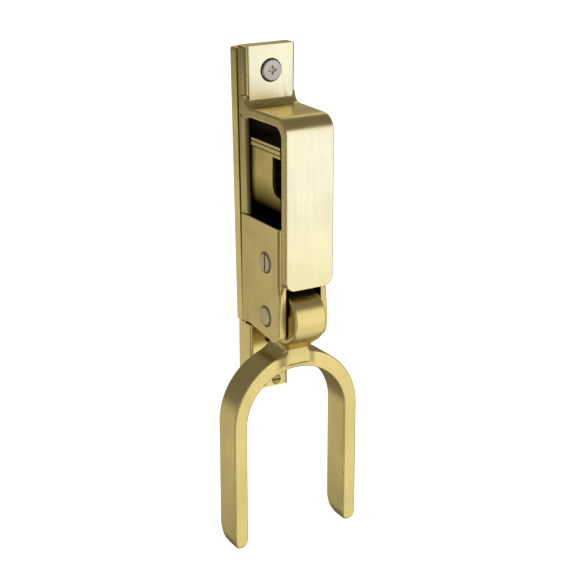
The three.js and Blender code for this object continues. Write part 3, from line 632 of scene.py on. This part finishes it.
NOISE_DETAIL = 3
GRAIN_ALONG = 30                       # noise scale along the brushing
GRAIN_ACROSS = 2600                    # and across it
CLOUD_SCALE = 55
SPECULAR_TINT = (0.95, 0.88, 0.7)
NOISE_SPAN = (0.3, 0.7)                # the range that most of a noise falls in
STREAKS = (0.93, 1.04)                 # brightness of dark and bright brushing
FACE_STREAKS = (0.99, 1.01)
PATINA_SPAN = (0.35, 0.75)
PATINA = (1.0, 0.95)
SATIN = (-0.05, 0.06)                  # change of roughness between the smoothest and roughest places
EDGE_WEAR_AND_HIGHLIGHT = 0.6                             # how much brighter an edge is, from wear and a painted highlight
WEAR_AND_HIGHLIGHT_WIDTH = 0.45 * MM
WORN_ROUGHNESS = 0.62
WORN_FROM = 1.02                       # brightness from which an edge counts as worn
FORMED_EDGE = (0.515, 0.56)            # pointiness of a dense mesh, from flat to a fully brightened edge
CUT_EDGE = (0.985, 0.90)               # agreement of the widened normal with the true one, likewise
SHADER_SAMPLES = 8
BRUSHING = 0.06                        # strength of the brushing's relief
BRUSHING_HEIGHT = 0.15 * MM
RECESS_REACH = 18 * MM
RECESS_SHADE = 0.1
RECESS_SPAN = (0.16, 0.6)              # share of open sky between full painted shade and none
# the same share, for the deeper painted shade inside the strap's window
DEEP_SPAN = (0.34, 0.8)

BRASS = (0.77, 0.622, 0.243)
# painted highlight: the colour of faces that face the front, where the key light is reflected
PAINTED_FRONT_HIGHLIGHT = (0.87, 0.825, 0.60)
FRONT_DEEP = (0.84, 0.76, 0.44)        # the painted front highlight is deeper in colour towards its foot
FRONT_SIDE = 0.94                      # and a little darker towards its left edge, as painted shade
FRONT_SIDE_X = (-14 * MM, 2 * MM)
FRONT_FOOT_Z = (-24 * MM, 26 * MM)
FRONT_FACING = (-0.84, -0.99)          # a normal's Y between a plain face and one with the painted front highlight
SIDE_SHADE = 0.72                      # painted shade on the sides of these pieces
SIDE_FACING = (0.75, 0.95)
HIDDEN_SHADE = 0.05                    # painted shade on the faces behind the strap, below the ledge
HIDDEN_FACING = (-0.3, -0.7)
STEEL = (0.5, 0.475, 0.42)
HEAD_METAL = (0.60, 0.51, 0.33)
NYLON = (0.03, 0.03, 0.03)


def scaled(color, factor):
    return tuple(channel * factor for channel in color)


def brushing(n, where, grain):
    """Fine noise drawn out along one axis."""
    stretch = n.add("ShaderNodeMapping")
    scale = [GRAIN_ALONG if axis == grain else GRAIN_ACROSS for axis in "XYZ"]
    stretch.inputs["Scale"].default_value = scale
    n.link(where, stretch.inputs["Vector"])
    return n.noise(stretch.outputs["Vector"], 1)


def front_with_painted_light(n, color, front, streak, painted_shade_below):
    """Colour of a piece with a painted highlight on its front face and painted shade on its sides."""
    facing, place = n.parts("Normal"), n.parts("Object")
    aside = n.spread(place["X"], *FRONT_SIDE_X, 0, 1)
    upward = n.spread(place["Z"], *FRONT_FOOT_Z, 0, 1)
    high = n.mix(aside, scaled(front, FRONT_SIDE), front)
    face = n.tint(n.mix(upward, FRONT_DEEP, high), n.spread(streak, *NOISE_SPAN, *FACE_STREAKS))
    oblique, square = SIDE_FACING
    left = n.spread(facing["X"], -square, -oblique, SIDE_SHADE, 1)
    right = n.spread(facing["X"], oblique, square, 1, SIDE_SHADE)
    plain = n.tint(n.tint(color, left), right)
    base = n.mix(n.spread(facing["Y"], *FRONT_FACING, 0, 1), plain, face)
    if painted_shade_below is None:
        return base
    # painted shade on front-facing faces below the ledge, inside the strap's window
    forward = n.spread(facing["Y"], *HIDDEN_FACING, 1, HIDDEN_SHADE)
    above = n.spread(place["Z"], painted_shade_below - MM, painted_shade_below + MM, 0, 1)
    return n.tint(base, n.larger(above, forward))


def worn_and_highlit_edges(n, formed, wear_and_highlight):
    """Factor by which edges are brighter: worn brass, plus a painted highlight along them."""
    true_shape = n.add("ShaderNodeNewGeometry")
    if formed:
        # where a dense mesh itself turns outwards
        return n.spread(true_shape.outputs["Pointiness"], *FORMED_EDGE, 1, 1 + wear_and_highlight)
    # where a widened normal leaves the true one
    rounded = n.add("ShaderNodeBevel", samples=SHADER_SAMPLES)
    rounded.inputs["Radius"].default_value = WEAR_AND_HIGHLIGHT_WIDTH
    turn = n.add("ShaderNodeVectorMath", operation="DOT_PRODUCT")
    n.link(rounded.outputs["Normal"], turn.inputs[0])
    n.link(true_shape.outputs["Normal"], turn.inputs[1])
    return n.spread(turn.outputs["Value"], *CUT_EDGE, 1, 1 + wear_and_highlight)


def open_sky(n, distance):
    """Share of open sky, which is small in recesses; the colour is darkened by it as painted shade."""
    recess = n.add("ShaderNodeAmbientOcclusion", samples=SHADER_SAMPLES)
    recess.inputs["Distance"].default_value = distance
    return recess.outputs["AO"]


def brushed_metal(name, color, roughness, grain="Z", wear_and_highlight=EDGE_WEAR_AND_HIGHLIGHT, bump=BRUSHING, metallic=1.0, front=None,
                  shade=RECESS_SHADE, span=RECESS_SPAN, reach=RECESS_REACH, formed=False, painted_shade_below=None):
    """Metal with brushing, patina, edges brightened by wear and a painted highlight, and painted shade in
    recesses.
    """
    n = Nodes(name)
    output = n.add("ShaderNodeOutputMaterial")
    shader = n.add("ShaderNodeBsdfPrincipled")
    shader.inputs["Metallic"].default_value = metallic
    shader.inputs["Specular Tint"].default_value = (*SPECULAR_TINT, 1)
    n.link(shader.outputs["BSDF"], output.inputs["Surface"])
    where = n.add("ShaderNodeTexCoord").outputs["Object"]
    streak = brushing(n, where, grain)
    cloud = n.noise(where, CLOUD_SCALE)
    base = front_with_painted_light(n, color, front, streak, painted_shade_below) if front else color
    streaks = n.tint(base, n.spread(streak, *NOISE_SPAN, *STREAKS))
    patina = n.tint(streaks, n.spread(cloud, *PATINA_SPAN, *PATINA))
    edge = worn_and_highlit_edges(n, formed, wear_and_highlight)
    worn_and_lit = n.tint(patina, edge)
    # painted shade: the colour is darkened where little open sky is seen, in recesses and between parts
    n.link(n.tint(worn_and_lit, n.spread(open_sky(n, reach), *span, shade, 1)), shader.inputs["Base Color"])
    satin = n.spread(cloud, *NOISE_SPAN, roughness + SATIN[0], roughness + SATIN[1])
    rubbed = n.spread(edge, WORN_FROM, 1 + wear_and_highlight, 0, WORN_ROUGHNESS)
    n.link(n.larger(satin, rubbed), shader.inputs["Roughness"])
    relief = n.add("ShaderNodeBump")
    relief.inputs["Strength"].default_value = bump
    relief.inputs["Distance"].default_value = BRUSHING_HEIGHT
    n.link(streak, relief.inputs["Height"])
    n.link(relief.outputs["Normal"], shader.inputs["Normal"])
    return n.material


# Inner frame: painted shade darkens it downwards above the channel, backwards near the rail, and on its
# upward faces.
STIRRUP_DARK_RISE = (7 * MM, 21 * MM)
STIRRUP_DARK_DEPTH = (0.5 * MM, 4.5 * MM)
STIRRUP_DARK_LOW = 0.005
STIRRUP_DARK_BACK = 0.2
STIRRUP_DARK_TOP = 0.3
STIRRUP_TOP_FACING = (0.5, 0.8)


def stirrup_finish(color):
    """Brushed sheet with painted shade: black where it dips between the cheeks and behind the rail, darker
    where it faces up.
    """
    material = brushed_metal("brushed_brass_stirrup", color, roughness=0.33, wear_and_highlight=1.0)
    n = Nodes.of(material)
    shader = n.tree.nodes["Principled BSDF"]
    bright = shader.inputs["Base Color"].links[0].from_socket
    place = n.parts("Object")
    top = box_mm("channel")[1][2] * MM
    back = box_mm("spring_stirrup")[1][1] * MM
    rise_start, rise_end = STIRRUP_DARK_RISE
    depth_start, depth_end = STIRRUP_DARK_DEPTH
    low = n.spread(place["Z"], top + rise_start, top + rise_end, STIRRUP_DARK_LOW, 1)
    behind = n.spread(place["Y"], back - depth_start, back - depth_end, STIRRUP_DARK_BACK, 1)
    upward = n.spread(n.parts("Normal")["Z"], *STIRRUP_TOP_FACING, 1, STIRRUP_DARK_TOP)
    dimmed = n.tint(n.tint(n.tint(bright, low), behind), upward)
    n.link(dimmed, shader.inputs["Base Color"])
    n.link(dimmed, shader.inputs["Specular Tint"])
    return material


def make_finishes():
    """Finishes by name: the record's slots, and the looks of some pieces."""
    sheet = scaled(BRASS, 0.9)
    return {
        # a lighter copy of the brass: painted light against the shade on the end block's front
        "brass": brushed_metal("brushed_brass", scaled(BRASS, 1.08), roughness=0.30, reach=3.5 * MM),
        "pale": brushed_metal("brushed_brass_painted_front_highlight", BRASS, roughness=0.28, front=PAINTED_FRONT_HIGHLIGHT,
                              painted_shade_below=LEDGE_TOP * MM),
        "brass_sheet": brushed_metal("brushed_brass_sheet", sheet, roughness=0.33),
        "fork": brushed_metal("brushed_brass_cast", BRASS, roughness=0.30, bump=0.03, shade=0.7,
                              formed=True),
        "strap": brushed_metal("brushed_brass_strap", BRASS, roughness=0.28, front=PAINTED_FRONT_HIGHLIGHT, shade=0.05,
                               span=DEEP_SPAN, formed=True),
        "channel": brushed_metal("brushed_brass_folded", sheet, roughness=0.33, formed=True),
        "brass_dark": brushed_metal("satin_brass_dark", scaled(BRASS, 0.65), roughness=0.4),
        "stirrup": stirrup_finish(scaled(BRASS, 0.95)),
        "steel": brushed_metal("satin_steel", STEEL, roughness=0.36, grain="X", shade=0.5),
        "head_metal": brushed_metal("satin_head", HEAD_METAL, roughness=0.36),
        "nylon": brushed_metal("dark_nylon", NYLON, roughness=0.5, metallic=0),
    }


# ---- the object --------------------------------------------------------------------------------
# Pieces made from a distance field, with the finish of each.
FORMED = {
    "fork": (fork_piece, "fork"),
    "cover_strap": (strap_piece, "strap"),
    "channel": (channel_piece, "channel"),
}

# Easing of the other visible pieces' edges, in millimetres.
EASING = {"back_plate": 0.35, "core_bar": 0.3, "rail_body": 0.35, "top_screw": 0.25,
          "foot_screw_left": 0.12, "foot_screw_right": 0.12, "spring_stirrup": 0.4, "stirrup_cap": 0.2,
          "stirrup_screw_left": 0.2, "stirrup_screw_right": 0.2, "pivot_pin": 0.3}

# Finishes that differ from the one named for the piece's slot.
LOOKS = {"rail_body": "pale", "spring_stirrup": "stirrup"}


def dress(obj, material):
    obj.data.materials.clear()
    obj.data.materials.append(material)


def clad(piece, material):
    dress(piece, material)


def make_object():
    finish = make_finishes()
    slots = {part["node"]: part["material_slot"] for part in frame["record"]["subparts"]}
    for node, (make_piece, look) in FORMED.items():
        clad(make_piece(), finish[look])
    for node, easing in EASING.items():
        look = LOOKS.get(node, slots[node])
        clad(refined(node, easing), finish[look])
    for node, slot in slots.items():
        if node not in FORMED and node not in EASING:
            dress(frame["nodes"][node], finish[slot])


make_camera()
make_world()
make_floor()
for box_name, settings in SOFT_BOXES.items():
    soft_box(box_name, *settings)
make_object()
bpy.context.scene.view_settings.view_transform = "Standard"
